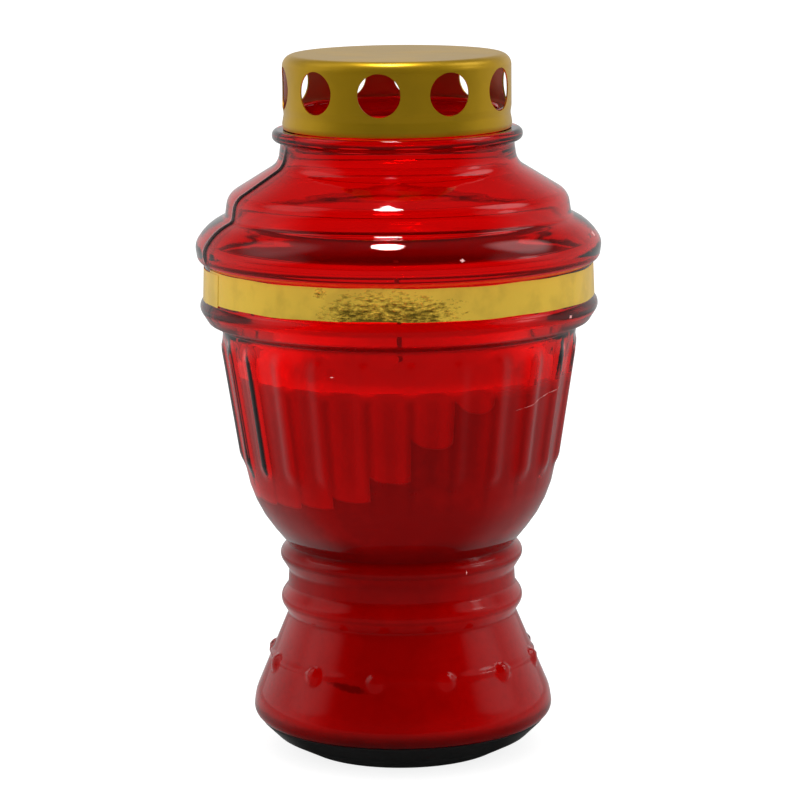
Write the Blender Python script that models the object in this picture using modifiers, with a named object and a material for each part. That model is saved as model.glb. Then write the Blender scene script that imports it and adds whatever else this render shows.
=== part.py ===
"""Sanctuary lamp: a ribbed red glass vessel on a dark foot, closed by a vented lift-off lid.

Units are metres, +Z is up, and the origin is on the floor under the lamp's axis.
The front of the lamp faces -Y. Bearings are degrees from the front, growing towards +X.
"""
import math

import bmesh
import bpy
from mathutils import Matrix, Vector

MM = 0.001

# Room kept between two pieces that touch
GAP = 0.3 * MM

# Facets of the turned pieces, coarse on hidden ones, and how far a chord may cut into an arc
SEGMENTS = 48
HIDDEN_SEGMENTS = 24
ARC_SAG = 0.36 * MM
MERGE = 0.01 * MM

# Glass vessel, mouth and neck
RIM_TOP = 215.5 * MM
RIM_ROUND = 1.2 * MM
LIP_RADIUS = 36.0 * MM
MOUTH_RADIUS = 33.0 * MM
LEDGE_RADIUS = 41.3 * MM
LEDGE_TOP = 208.6 * MM
LEDGE_FOOT = 204.6 * MM
NECK_RADIUS = 38.4 * MM
NECK_FOOT_RADIUS = 39.4 * MM
NECK_FOOT = 197.4 * MM

# Glass vessel, stepped shoulder and belly
STEP_RADIUS = 56.2 * MM
STEP_TOP = 187.0 * MM
STEP_FOOT_RADIUS = 56.8 * MM
STEP_FOOT = 182.2 * MM
BELLY_RADIUS = 67.5 * MM
BELLY_TOP = 172.4 * MM
BELLY_FOOT_RADIUS = 66.4 * MM
BELLY_FOOT = 166.2 * MM
LAND_TOP_RADIUS = 64.2 * MM
LAND_TOP = 164.8 * MM
LAND_FOOT_RADIUS = 64.6 * MM
LAND_FOOT = 152.8 * MM

# Glass vessel, bead under the foil band and the groove over the bowl
BEAD_RADIUS = 66.5 * MM
BEAD = 150.6 * MM
BEAD_FOOT_RADIUS = 63.4 * MM
BEAD_FOOT = 145.4 * MM
GROOVE_RADIUS = 58.9 * MM
GROOVE = 143.4 * MM

# Glass vessel, ribbed bowl
BOWL_FOOT_RADIUS = 49.85 * MM
BOWL_FOOT = 85.0 * MM
BOWL_ROUND = 42.0 * MM
BOWL_END_RADIUS = 38.4 * MM
BOWL_END = 72.4 * MM
RIB_COUNT = 24
RIB_BEARING = 3.6
RIB_TOP = 140.8 * MM
RIB_FOOT = 95.8 * MM
RIB_HALF_WIDTH = 4.2 * MM
RIB_HEIGHT = 1.6 * MM
RIB_SUNK = 0.5 * MM
RIB_END = 6.5 * MM

# Glass vessel, waist with its two rings
WAIST_RADIUS = 37.6 * MM
RING_RADIUS = 40.3 * MM
RING_HALF = 4.1 * MM
UPPER_RING = 66.3 * MM
LOWER_RING = 50.6 * MM

# Glass vessel, flared base
FLARE_RADIUS = 49.5 * MM
FLARE_FOOT = 19.2 * MM
HEEL_RADIUS = 50.35 * MM
HEEL = 13.2 * MM
HEEL_EDGE_RADIUS = 48.2 * MM
STUD_COUNT = 12
STUD_BEARING = -11.5
STUD_HEIGHT_ON_LAMP = 31.6 * MM
STUD_RADIUS = 3.4 * MM
STUD_PROUD = 1.5 * MM
STUD_SUNK = 0.6 * MM

# Glass vessel, wall and bottom
WALL = 2.6 * MM
FLOOR = 12.0 * MM
BOSS_RADIUS = 42.0 * MM
BOSS_FOOT = 8.0 * MM

# Foot dish under the heel
FOOT_TOP = 10.5 * MM
FOOT_EDGE_RADIUS = 42.4 * MM
FOOT_EDGE = 4.8 * MM
STANDING_RADIUS = 33.0 * MM
FOOT_WALL = 2.0 * MM

# Vented lid
LID_TOP = 233.0 * MM
LID_RADIUS = 37.65 * MM
LID_CORNER = 3.8 * MM
LID_SHEET = 0.5 * MM
LID_WAIST_RADIUS = 37.3 * MM
LID_WAIST = 213.6 * MM
LID_BEAD_RADIUS = 37.85 * MM
LID_BEAD = 210.2 * MM
VENT_COUNT = 10
VENT_BEARING = -9.0
VENT_RADIUS = 7.0 * MM
VENT_HEIGHT_ON_LAMP = 222.4 * MM
VENT_SIDES = 20

# Foil band on the land between belly and bead
BAND_TOP = 164.5 * MM
BAND_WIDTH = 10.6 * MM
BAND_SHEET = 0.3 * MM
BAND_START = -75.0
BAND_LAP_STEPS = 1
BAND_RISE_STEPS = 2
BAND_DROP = 0.7 * MM

# Wax, wick and the tin disc that holds the wick upright
WAX_TOP = 130.0 * MM
WAX_CREEP = 0.9 * MM
WAX_CREEP_WIDTH = 2.5 * MM
WICK_RADIUS = 0.95 * MM
WICK_TIP = 164.0 * MM
WICK_LEAN = -0.9 * MM
DISC_RADIUS = 12.0 * MM
DISC_SHEET = 0.5 * MM
COLLAR_HEIGHT = 6.0 * MM
COLLAR_WALL = 0.6 * MM


def clear_scene():
    """Start from an empty scene."""
    for item in list(bpy.data.objects):
        bpy.data.objects.remove(item, do_unlink=True)


def new_collection(name):
    group = bpy.data.collections.new(name)
    bpy.context.scene.collection.children.link(group)
    return group


def finish(name, colour, roughness, metallic=0.0, transmission=0.0):
    """A Principled material for one piece."""
    material = bpy.data.materials.new(name)
    material.use_nodes = True
    shader = material.node_tree.nodes["Principled BSDF"]
    shader.inputs["Base Color"].default_value = (*colour, 1.0)
    shader.inputs["Roughness"].default_value = roughness
    shader.inputs["Metallic"].default_value = metallic
    shader.inputs["Transmission Weight"].default_value = transmission
    return material


def add_object(name, data, group, material=None):
    item = bpy.data.objects.new(name, data)
    group.objects.link(item)
    if material:
        data.materials.append(material)
    return item


def turn_to(bearing):
    """Rotation about the lamp's axis that brings +X to a bearing."""
    return Matrix.Rotation(math.radians(bearing - 90.0), 4, "Z")


def rounded(corners):
    """Points of an outline whose corners (radius, height, rounding) become arcs."""
    points = []
    for index, (radius, height, rounding) in enumerate(corners):
        corner = Vector((radius, height))
        if rounding == 0.0:
            points.append(corner)
            continue
        before = (Vector(corners[index - 1][:2]) - corner).normalized()
        after = (Vector(corners[index + 1][:2]) - corner).normalized()
        half = before.angle(after) / 2.0
        centre = corner + (before + after).normalized() * (rounding / math.sin(half))
        start = corner + before * (rounding / math.tan(half)) - centre
        sweep = start.angle_signed(corner + after * (rounding / math.tan(half)) - centre)
        chord = 2.0 * math.acos(1.0 - ARC_SAG / rounding)
        chords = math.ceil(abs(sweep) / chord)
        for step in range(chords + 1):
            swing = Matrix.Rotation(-sweep * step / chords, 2)
            points.append(centre + swing @ start)
    return points


def inset(corners, depth):
    """Corners moved inwards by a wall's depth, square to the lines between them."""
    moved = []
    for index, (radius, height, rounding) in enumerate(corners):
        corner = Vector((radius, height))
        normals = []
        for first, second in ((index - 1, index), (index, index + 1)):
            if first < 0 or second >= len(corners):
                continue
            line = (Vector(corners[second][:2]) - Vector(corners[first][:2])).normalized()
            normals.append(Vector((line.y, -line.x)))
        if len(normals) == 1:
            shift = normals[0]
            bulge = 0.0
        else:
            shift = (normals[0] + normals[1]) / (1.0 + normals[0].dot(normals[1]))
            bulge = normals[0].cross(normals[1])
        corner += shift * depth
        if rounding > 0.0:
            rounding = max(rounding - math.copysign(depth, -bulge), depth / 2.0)
        moved.append((corner.x, corner.y, rounding))
    return moved


def turned(name, points, group, material, closed, segments=SEGMENTS):
    """A piece turned about Z from an outline of (radius, height) points."""
    mesh = bpy.data.meshes.new(name)
    edges = [(index, index + 1) for index in range(len(points) - 1)]
    if closed:
        edges.append((len(points) - 1, 0))
    mesh.from_pydata([(point[0], 0.0, point[1]) for point in points], edges, [])
    item = add_object(name, mesh, group, material)
    screw = item.modifiers.new("Turn", "SCREW")
    screw.axis = "Z"
    screw.steps = segments
    screw.render_steps = segments
    screw.use_merge_vertices = True
    screw.merge_threshold = MERGE
    screw.use_smooth_shade = True
    return item


def tool(name, build, group):
    """A hidden helper solid, shaped by a function that fills its mesh."""
    shape = bmesh.new()
    build(shape)
    mesh = bpy.data.meshes.new(name)
    shape.to_mesh(mesh)
    shape.free()
    item = add_object(name, mesh, group)
    item.hide_render = True
    item.display_type = "WIRE"
    return item


def combine(item, helper, operation):
    boolean = item.modifiers.new(helper.name, "BOOLEAN")
    boolean.operation = operation
    boolean.object = helper


def shoulder_corners():
    """Outside of the glass from the neck down to the land under the foil."""
    return [
        (NECK_RADIUS, LEDGE_FOOT, 0.0),
        (NECK_FOOT_RADIUS, NECK_FOOT, 6.0 * MM),
        (STEP_RADIUS, STEP_TOP, 6.0 * MM),
        (STEP_FOOT_RADIUS, STEP_FOOT, 4.0 * MM),
        (BELLY_RADIUS, BELLY_TOP, 8.0 * MM),
        (BELLY_FOOT_RADIUS, BELLY_FOOT, 3.5 * MM),
        (LAND_TOP_RADIUS, LAND_TOP, 0.0),
    ]


def bead_corners():
    """Outside of the glass round the bead and its groove."""
    return [
        (LAND_FOOT_RADIUS, LAND_FOOT, 0.0),
        (BEAD_RADIUS, BEAD, 3.0 * MM),
        (BEAD_FOOT_RADIUS, BEAD_FOOT, 1.5 * MM),
        (GROOVE_RADIUS, GROOVE, 0.0),
    ]


def bowl_corners():
    return [
        (BOWL_FOOT_RADIUS, BOWL_FOOT, BOWL_ROUND),
        (BOWL_END_RADIUS, BOWL_END, 0.0),
    ]


def ring_corners(height):
    """A raised ring round the waist."""
    return [
        (WAIST_RADIUS, height + RING_HALF, 0.0),
        (RING_RADIUS, height, 2.0 * MM),
        (WAIST_RADIUS, height - RING_HALF, 0.0),
    ]


def base_corners():
    return [
        (FLARE_RADIUS, FLARE_FOOT, 12.0 * MM),
        (HEEL_RADIUS, HEEL, 4.0 * MM),
    ]


def outer_corners():
    """Whole outside of the glass, from the rim down to the boss under its floor."""
    rim = [
        (MOUTH_RADIUS, RIM_TOP, RIM_ROUND),
        (LIP_RADIUS, RIM_TOP, RIM_ROUND),
        (LIP_RADIUS, LEDGE_TOP, 0.0),
        (LEDGE_RADIUS, LEDGE_TOP, 1.6 * MM),
        (LEDGE_RADIUS, LEDGE_FOOT, 1.6 * MM),
    ]
    underside = [
        (HEEL_EDGE_RADIUS, FOOT_TOP + GAP, 0.0),
        (BOSS_RADIUS, FOOT_TOP + GAP, 0.0),
        (BOSS_RADIUS, BOSS_FOOT, 0.0),
        (0.0, BOSS_FOOT, 0.0),
    ]
    middle = shoulder_corners() + bead_corners() + bowl_corners()
    waist = ring_corners(UPPER_RING) + ring_corners(LOWER_RING)
    return rim + middle + waist + base_corners() + underside


def inner_corners():
    """Inside of the glass, which follows the main forms and leaves out beads and rings."""
    groove = [(GROOVE_RADIUS, GROOVE, 8.0 * MM)]
    waist = [
        (WAIST_RADIUS, UPPER_RING, 4.0 * MM),
        (WAIST_RADIUS, LOWER_RING - RING_HALF, 8.0 * MM),
    ]
    foot = [(HEEL_RADIUS, FLOOR - WALL, 0.0), (0.0, FLOOR - WALL, 0.0)]
    line = shoulder_corners()[1:5] + groove + bowl_corners()[:1] + waist + foot
    wall = inset(line, WALL)
    corner = wall[-2]
    wall[-2] = (corner[0], corner[1], 5.0 * MM)
    wall[-1] = (0.0, FLOOR, 0.0)
    return wall


def fill_ribs(shape):
    """Rounded ribs standing on the bowl, each a long capsule sunk into the wall."""
    run = (GROOVE_RADIUS - BOWL_FOOT_RADIUS) / (GROOVE - BOWL_FOOT)
    middle = (RIB_TOP + RIB_FOOT) / 2.0
    radius = BOWL_FOOT_RADIUS + run * (middle - BOWL_FOOT) - RIB_SUNK
    straight = (RIB_TOP - RIB_FOOT) / 2.0 - RIB_END
    for index in range(RIB_COUNT):
        made = bmesh.ops.create_uvsphere(shape, u_segments=8, v_segments=5, radius=1.0)
        place = (
            turn_to(RIB_BEARING + index * 360.0 / RIB_COUNT)
            @ Matrix.Translation((radius, 0.0, middle))
            @ Matrix.Rotation(math.atan(run), 4, "Y")
        )
        for vertex in made["verts"]:
            across = vertex.co.x * (RIB_HEIGHT + RIB_SUNK)
            along = vertex.co.y * RIB_HALF_WIDTH
            up = vertex.co.z * RIB_END + math.copysign(straight, vertex.co.z)
            vertex.co = place @ Vector((across, along, up))


def fill_studs(shape):
    """Domed studs round the base, square to the flare."""
    run = (FLARE_RADIUS - WAIST_RADIUS) / (LOWER_RING - RING_HALF - FLARE_FOOT)
    radius = FLARE_RADIUS - run * (STUD_HEIGHT_ON_LAMP - FLARE_FOOT)
    squash = Matrix.Diagonal((STUD_PROUD + STUD_SUNK, STUD_RADIUS, STUD_RADIUS, 1.0))
    for index in range(STUD_COUNT):
        place = (
            turn_to(STUD_BEARING + index * 360.0 / STUD_COUNT)
            @ Matrix.Translation((radius, 0.0, STUD_HEIGHT_ON_LAMP))
            @ Matrix.Rotation(-math.atan(run), 4, "Y")
            @ Matrix.Translation((-STUD_SUNK, 0.0, 0.0))
            @ squash
        )
        bmesh.ops.create_uvsphere(shape, u_segments=8, v_segments=4, radius=1.0, matrix=place)


def fill_vents(shape):
    """Short cylinders that pierce the lid's skirt."""
    for index in range(VENT_COUNT):
        place = (
            turn_to(VENT_BEARING + index * 360.0 / VENT_COUNT)
            @ Matrix.Translation((LID_RADIUS, 0.0, VENT_HEIGHT_ON_LAMP))
            @ Matrix.Rotation(math.radians(90.0), 4, "Y")
        )
        bmesh.ops.create_cone(
            shape,
            cap_ends=True,
            segments=VENT_SIDES,
            radius1=VENT_RADIUS,
            radius2=VENT_RADIUS,
            depth=VENT_RADIUS,
            matrix=place,
        )


def make_glass(parts, tools):
    """Closed-bottom vessel with its ribs and studs grown on."""
    glass = finish("red_glass", (0.55, 0.01, 0.015), 0.05, transmission=1.0)
    inside = [(MOUTH_RADIUS, LEDGE_TOP, 0.0)] + inner_corners()
    points = list(reversed(rounded(inside))) + rounded(
        [(MOUTH_RADIUS, LEDGE_TOP, 0.0)] + outer_corners()
    )[1:]
    vessel = turned("glass_vessel", points, parts, glass, closed=False)
    combine(vessel, tool("rib_shapes", fill_ribs, tools), "UNION")
    combine(vessel, tool("stud_shapes", fill_studs, tools), "UNION")


def make_foot(parts):
    """Dark dish that carries the glass on a flat standing face."""
    plastic = finish("black_plastic", (0.012, 0.013, 0.012), 0.35)
    outside = [
        (HEEL_EDGE_RADIUS, FOOT_TOP, 0.0),
        (FOOT_EDGE_RADIUS, FOOT_EDGE, 6.0 * MM),
        (STANDING_RADIUS, 0.0, 0.0),
        (0.0, 0.0, 0.0),
    ]
    rim = BOSS_RADIUS + GAP
    inside = [
        (0.0, FOOT_WALL, 0.0),
        (STANDING_RADIUS - FOOT_WALL, FOOT_WALL, 0.0),
        (rim, BOSS_FOOT, 0.0),
        (rim, FOOT_TOP, 0.0),
    ]
    turned("base_foot", rounded(inside + outside), parts, plastic, closed=False)


def lid_corners():
    """Outside of the lid's sheet from its centre out and down to the rolled lower edge."""
    edge = LEDGE_TOP + GAP
    return [
        (0.0, LID_TOP, 0.0),
        (LID_RADIUS, LID_TOP, LID_CORNER),
        (LID_RADIUS, LID_WAIST + 2.0 * MM, 0.0),
        (LID_WAIST_RADIUS, LID_WAIST, 0.0),
        (LID_BEAD_RADIUS, LID_BEAD, 0.8 * MM),
        (LID_BEAD_RADIUS - LID_SHEET / 2.0, edge, 0.0),
    ]


def make_lid(parts, tools):
    """Pressed cap with a ring of round vents, resting on the ledge."""
    gold = finish("gold_lacquer", (0.45, 0.33, 0.06), 0.3, metallic=1.0)
    outside = lid_corners()
    inside = inset(outside, LID_SHEET)
    inside[0] = (0.0, LID_TOP - LID_SHEET, 0.0)
    inside[-1] = (inside[-1][0], outside[-1][1], 0.0)
    points = list(reversed(rounded(inside)))
    points = rounded(outside) + points
    lid = turned("vent_lid", points, parts, gold, closed=False)
    combine(lid, tool("vent_shapes", fill_vents, tools), "DIFFERENCE")


def band_point(step, down):
    """A point of the foil ribbon: steps round the lamp, and share of its width from the top."""
    lap = step - SEGMENTS
    raised = min(max((lap + BAND_RISE_STEPS) / BAND_RISE_STEPS, 0.0), 1.0)
    height = BAND_TOP - BAND_DROP * step / SEGMENTS - BAND_WIDTH * down
    share = (LAND_TOP - height) / (LAND_TOP - LAND_FOOT)
    land = LAND_TOP_RADIUS + (LAND_FOOT_RADIUS - LAND_TOP_RADIUS) * share
    radius = land + GAP + raised * (BAND_SHEET + GAP)
    turn = turn_to(BAND_START + step * 360.0 / SEGMENTS)
    return turn @ Vector((radius, 0.0, height))


def make_band(parts):
    """Foil ribbon wound once round the lamp, its end lapped over its start."""
    foil = finish("gold_foil", (0.66, 0.45, 0.05), 0.2, metallic=1.0)
    steps = SEGMENTS + BAND_LAP_STEPS
    shape = bmesh.new()
    bmesh.ops.create_grid(shape, x_segments=steps, y_segments=1, size=1.0)
    for vertex in shape.verts:
        step = (vertex.co.x + 1.0) / 2.0 * steps
        vertex.co = band_point(step, (1.0 - vertex.co.y) / 2.0)
    mesh = bpy.data.meshes.new("foil_band")
    shape.to_mesh(mesh)
    shape.free()
    band = add_object("foil_band", mesh, parts, foil)
    sheet = band.modifiers.new("Sheet", "SOLIDIFY")
    sheet.thickness = BAND_SHEET
    sheet.offset = 1.0


def make_wax(parts):
    """Poured wax that fills the vessel, bored for the wick and hollowed over the tin disc."""
    paraffin = finish("red_wax", (0.5, 0.05, 0.05), 0.6)
    wall = inset(inner_corners(), GAP)
    bowl = next(index for index, corner in enumerate(wall) if corner[1] < WAX_TOP)
    above, below = wall[bowl - 1], wall[bowl]
    share = (above[1] - WAX_TOP) / (above[1] - below[1])
    edge = above[0] + (below[0] - above[0]) * share
    bore = WICK_RADIUS + GAP
    collar = bore + COLLAR_WALL + GAP
    disc_top = FLOOR + GAP + DISC_SHEET + GAP
    bottom = FLOOR + GAP
    outline = [
        (bore, WAX_TOP + WAX_CREEP, 0.0),
        (bore + WAX_CREEP_WIDTH, WAX_TOP, 0.0),
        (edge - WAX_CREEP_WIDTH, WAX_TOP, 0.0),
        (edge, WAX_TOP + WAX_CREEP, 0.0),
    ]
    outline += wall[bowl:-1]
    outline += [
        (DISC_RADIUS + GAP, bottom, 0.0),
        (DISC_RADIUS + GAP, disc_top, 0.0),
        (collar, disc_top, 0.0),
        (collar, bottom + COLLAR_HEIGHT + GAP, 0.0),
        (bore, bottom + COLLAR_HEIGHT + GAP, 0.0),
    ]
    turned("wax_fill", rounded(outline), parts, paraffin, closed=True, segments=HIDDEN_SEGMENTS)


def make_disc(parts):
    """Tin disc with a collar that grips the foot of the wick."""
    tin = finish("tinplate", (0.6, 0.6, 0.6), 0.35, metallic=1.0)
    bottom = FLOOR + GAP
    bore = WICK_RADIUS + GAP
    outline = [
        (bore, bottom + COLLAR_HEIGHT),
        (bore + COLLAR_WALL, bottom + COLLAR_HEIGHT),
        (bore + COLLAR_WALL, bottom + DISC_SHEET),
        (DISC_RADIUS, bottom + DISC_SHEET),
        (DISC_RADIUS, bottom),
        (bore, bottom),
    ]
    turned("wick_sustainer", outline, parts, tin, closed=True, segments=HIDDEN_SEGMENTS)


def make_wick(parts):
    """Cotton wick, straight in the wax and leaning a little at its tip."""
    cotton = finish("cotton", (0.75, 0.70, 0.62), 0.9)
    line = bpy.data.curves.new("wick", "CURVE")
    line.dimensions = "3D"
    line.bevel_depth = WICK_RADIUS
    line.bevel_resolution = 2
    line.use_fill_caps = True
    spline = line.splines.new("POLY")
    free = WICK_TIP - WAX_TOP
    route = [(0.0, FLOOR + GAP), (0.0, WAX_TOP + WAX_CREEP)]
    route += [(WICK_LEAN * share * share, WAX_TOP + free * share) for share in (0.5, 0.75, 1.0)]
    spline.points.add(len(route) - 1)
    for point, (lean, height) in zip(spline.points, route):
        point.co = (lean, 0.0, height, 1.0)
    add_object("wick", line, parts, cotton)


def main():
    clear_scene()
    parts = new_collection("sanctuary_lamp")
    tools = new_collection("cutters")
    make_glass(parts, tools)
    make_foot(parts)
    make_lid(parts, tools)
    make_band(parts)
    make_wax(parts)
    make_disc(parts)
    make_wick(parts)


main()
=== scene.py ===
"""Sanctuary lamp: its finished surfaces and stage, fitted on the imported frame.

Heights, radii and widths in the tables are millimetres. What is built is in metres, +Z up.
The front of the lamp faces -Y. Bearings are degrees from the front, growing towards +X.
"""
import math

import bpy
from mathutils import Matrix, Vector


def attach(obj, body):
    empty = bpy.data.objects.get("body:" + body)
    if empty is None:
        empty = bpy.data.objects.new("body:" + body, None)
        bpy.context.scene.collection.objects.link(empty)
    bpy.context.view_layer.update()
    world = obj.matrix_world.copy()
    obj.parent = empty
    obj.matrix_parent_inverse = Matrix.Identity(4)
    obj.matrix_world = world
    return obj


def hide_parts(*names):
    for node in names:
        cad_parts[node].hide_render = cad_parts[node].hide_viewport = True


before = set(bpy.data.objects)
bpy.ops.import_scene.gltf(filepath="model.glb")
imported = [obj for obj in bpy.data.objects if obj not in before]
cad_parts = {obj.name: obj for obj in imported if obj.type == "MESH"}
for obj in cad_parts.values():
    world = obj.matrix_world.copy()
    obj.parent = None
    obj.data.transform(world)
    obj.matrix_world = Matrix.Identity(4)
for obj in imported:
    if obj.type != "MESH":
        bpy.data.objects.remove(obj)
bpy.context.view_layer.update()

bl_info = {
    "name": "Sanctuary Lamp",
    "version": (1, 0, 0),
    "blender": (4, 5, 0),
    "location": "View3D > Sidebar > Lamp",
    "description": "Builds a sanctuary lamp's glass, lid, foil, wax and foot on its packed frame",
    "category": "Object",
}

MM = 0.001
ORIGIN = (0.0, 0.0, 0.0)

# Outside of the glass from the rim to the boss under the heel: radius, height, rounding
GLASS_OUTSIDE = (
    (33.0, 215.5, 1.2),
    (36.0, 215.5, 1.2),
    (36.0, 208.6, 0.6),
    (41.3, 208.6, 1.8),
    (41.3, 204.9, 1.7),
    (38.45, 204.5, 0.8),
    (39.4, 197.4, 6.0),
    (56.2, 187.0, 6.0),
    (57.2, 180.2, 2.2),
    (63.7, 177.0, 16.0),
    (67.25, 171.2, 5.0),
    (66.5, 166.3, 2.6),
    (64.3, 164.7, 0.4),
    (64.6, 153.2, 0.5),
    (66.6, 150.8, 3.2),
    (63.2, 145.4, 1.5),
    (58.95, 143.4, 0.9),
    (49.85, 85.0, 42.0),
    (37.8, 70.2, 0.3),
    (41.4, 67.0, 3.0),
    (37.8, 61.2, 2.0),
    (38.1, 56.0, 2.5),
    (41.2, 51.6, 4.0),
    (38.1, 46.4, 1.2),
    (49.5, 19.2, 13.0),
    (50.4, 13.0, 4.5),
    (48.2, 10.8, 0.4),
    (42.0, 10.8, 0.4),
    (42.0, 8.0, 0.4),
    (0.0, 8.0, 0.0),
)

# Inside of the glass from the mouth down to the middle of its floor
GLASS_INSIDE = (
    (33.0, 208.6, 0.0),
    (38.0, 195.2, 8.6),
    (53.8, 185.4, 3.4),
    (54.6, 178.6, 4.5),
    (61.5, 174.8, 14.0),
    (65.2, 167.9, 3.5),
    (62.9, 164.0, 2.0),
    (62.2, 157.0, 6.0),
    (62.4, 151.0, 6.0),
    (56.2, 142.8, 6.0),
    (47.4, 86.0, 39.4),
    (35.0, 67.1, 6.6),
    (35.5, 46.1, 10.6),
    (47.9, 12.0, 5.0),
    (0.0, 12.0, 0.0),
)

# Rows of the glass lie closer together where it carries relief: from, to, spacing
GLASS_ROWS = ((26.5, 36.5, 0.85), (93.0, 142.0, 1.8), (13.0, 220.0, 6.0))
HEEL_ROWS = 60.0
INSIDE_ROWS = 3.0
INSIDE_TURN = 12.0

# Outside of the lid's sheet from the middle of its top to the rolled lower edge
LID_OUTSIDE = (
    (0.0, 232.85, 0.0),
    (31.0, 233.0, 20.0),
    (37.65, 233.0, 3.8),
    (37.65, 216.0, 4.0),
    (37.3, 213.6, 3.0),
    (37.85, 210.4, 1.1),
    (37.6, 208.9, 0.0),
)
LID_SHOULDER = 2
LID_ROWS = 1.6

# The foot from the middle of its dish, over its seat, to the middle of its standing face
FOOT = (
    (0.0, 2.0, 0.0),
    (31.0, 2.0, 0.0),
    (42.3, 8.0, 0.0),
    (42.3, 10.1, 0.0),
    (42.7, 10.5, 0.0),
    (48.2, 10.5, 0.4),
    (42.4, 4.8, 6.0),
    (33.0, 0.0, 0.8),
    (0.0, 0.0, 0.0),
)
FOOT_SEGMENTS = 180

RIB_COUNT = 24
RIB_BEARING = 3.6
RIB_PITCH = 360.0 / RIB_COUNT
RIB_FOOT, RIB_HEAD = 101.5, 136.4
RIB_FOOT_FADE, RIB_HEAD_FADE = 6.0, 5.0
RIB_REACH = (94.0, 142.0)
HOLLOW_SHARE = 0.6
STUD_COUNT = 12
STUD_BEARING = -11.5
STUD_HEIGHT = 31.6
STUD_SQUAT = 1.08
STUD_REACH = (26.0, 37.0)
CREASE_HEIGHT = 32.3
CREASE_WIDTH = 0.7
CREASE_RISE = 0.46
CREASE_REACH = (28.0, 36.0)
VENT_COUNT = 10
VENT_BEARING = -9.0
VENT_HEIGHT = 222.4
PUNCH_REACH = 37.4
PUNCH_LENGTH = 8.0
SEAM_BEARING = -70.0
SEAM_WIDTH = 1.1
SEAM_RISE = 0.55
SEAM_FADE = 3.0
SEAM_REACH = (166.5, 203.5)

# Dark lines painted on the outside of the glass as shade, in the groove under the bead and at the
# waist rings: height, half its width, least radius, depth
PAINTED_SHADE_LINES = (
    (144.3, 2.3, 58.3, 1.0),
    (65.4, 0.9, 37.2, 0.35),
    (50.2, 0.9, 37.2, 0.3),
)

# Chips in the glass: bearing, height and half of the width in degrees and of the height
CHIPS = (
    (17.6, 173.0, 0.75, 0.55),
    (78.5, 174.5, 1.5, 0.9),
    (57.0, 150.6, 0.8, 0.6),
    (31.5, 66.2, 0.3, 0.7),
    (-22.0, 134.6, 0.7, 0.2),
)

# The scratch on the bowl: bearing and height of its two ends
SCRATCH = (41.8, 120.9, 69.3, 126.2)
SCRATCH_HALF_WIDTH = 0.07

# Marks are thin flakes a hair above the glass, found by rays from well outside it
MARK_SHEET = 0.05
MARK_LIFT = 0.03
CLEAR_OF_LAMP = 90.0

# The land under the belly that carries the foil: its heights, upper radius and flare downwards
LAND_TOP, LAND_BOTTOM = 164.8, 152.8
LAND_RADIUS, LAND_FLARE = 64.2, 0.4

# The ribbon of foil: its start, degrees wound, fall in a turn, gap to the land, rise at the lap
FOIL_BEARING = -72.5
FOIL_WOUND = 367.5
FOIL_FALL = 0.7
FOIL_GAP = 0.1
FOIL_LAP = 0.14
LAP_START, LAP_END = 330.0, 360.0

# Worn places of the foil: bearing, half its width, height, half its height, least wear
FOIL_WEAR = (
    (-2.0, 19.0, 154.6, 8.2, 0.0),
    (-22.8, 2.4, 162.4, 1.8, 0.25),
)

# How high the wax clings to the glass: middle, swing and steepness round the lamp, scalloped edge
CLING_HEIGHT = 109.0
CLING_SWING = 22.5
CLING_STEEPNESS = 2.1
SCALLOP_CHANGE = 0.8
SCALLOP_ENDS = 2.5
LOOSENING = 6.0
LOOSE_REACH = (80.0, 200.0)

# The wax bites into the glass by a hair, and its floor is hollowed for the tin disc
WAX_BITE = 0.06
WAX_FLOOR = 11.94
WAX_ROWS = 1.2
WAX_TOP_ROWS = 3.0
WAX_UNDERSIDE = ((12.4, 12.3), (12.4, 13.2), (2.3, 13.2), (2.3, 18.7), (1.3, 18.7))
WAX_UNDERSIDE_RADIUS = 13.0
WAX_WALL_RADIUS = 40.0

# A dark smear on the base: bearing, half its width, height, half its height
SMEAR = (-24.0, 10.0, 28.4, 1.2)

# The wick: its ends, one step of its twist, and where and how far it leans to the side
WICK_FOOT, WICK_TIP = 12.4, 163.9
WICK_RADIUS = 0.9
WICK_STEP = 1.6
WICK_TWIST = 24.0
LEAN_START, LEAN_LENGTH, LEAN = 130.0, 34.0, -0.9

# Soft patches of light that a gloss finds in the room: direction, soft edge, level
WINDOWS = (
    ((0.847, -0.044, 0.53), (0.9, 0.985), 0.28),
    ((0.86, -0.06, 0.5), (0.985, 0.996), 1.5),
    ((0.6, 0.27, 0.753), (0.96, 0.992), 1.5),
    ((-0.847, -0.044, 0.53), (0.9, 0.985), 0.25),
    ((-0.6, 0.27, 0.753), (0.94, 0.99), 0.5),
)
KEY_SIZE = (0.2, 0.42)
KEY_PLACE = (-0.065, 0.09, 1.38)
AIM_HEIGHT = 117.5
FLOOR_SIZE = 16.0
FLOOR_GAP = 0.2


# Outlines


def rounded(corners, turn=9.0):
    """Points of an outline in millimetres whose corners become arcs of small chords.

    A chord turns that many degrees at most, and up to 2.5 times as far on a small rounding.
    """
    points = []
    for index, (radius, height, rounding) in enumerate(corners):
        corner = Vector((radius, height))
        if rounding == 0.0:
            points.append(corner)
            continue
        before = Vector(corners[index - 1][:2]) - corner
        after = Vector(corners[index + 1][:2]) - corner
        half = before.angle(after) / 2.0
        before.normalize()
        after.normalize()
        centre = corner + (before + after).normalized() * (rounding / math.sin(half))
        start = corner + before * (rounding / math.tan(half)) - centre
        sweep = start.angle_signed(corner + after * (rounding / math.tan(half)) - centre)
        widest = turn * min(max(2.0 / rounding, 1.0), 2.5)
        chords = max(math.ceil(abs(sweep) / math.radians(widest)), 2)
        for step in range(chords + 1):
            points.append(centre + Matrix.Rotation(-sweep * step / chords, 2) @ start)
    return points


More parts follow.
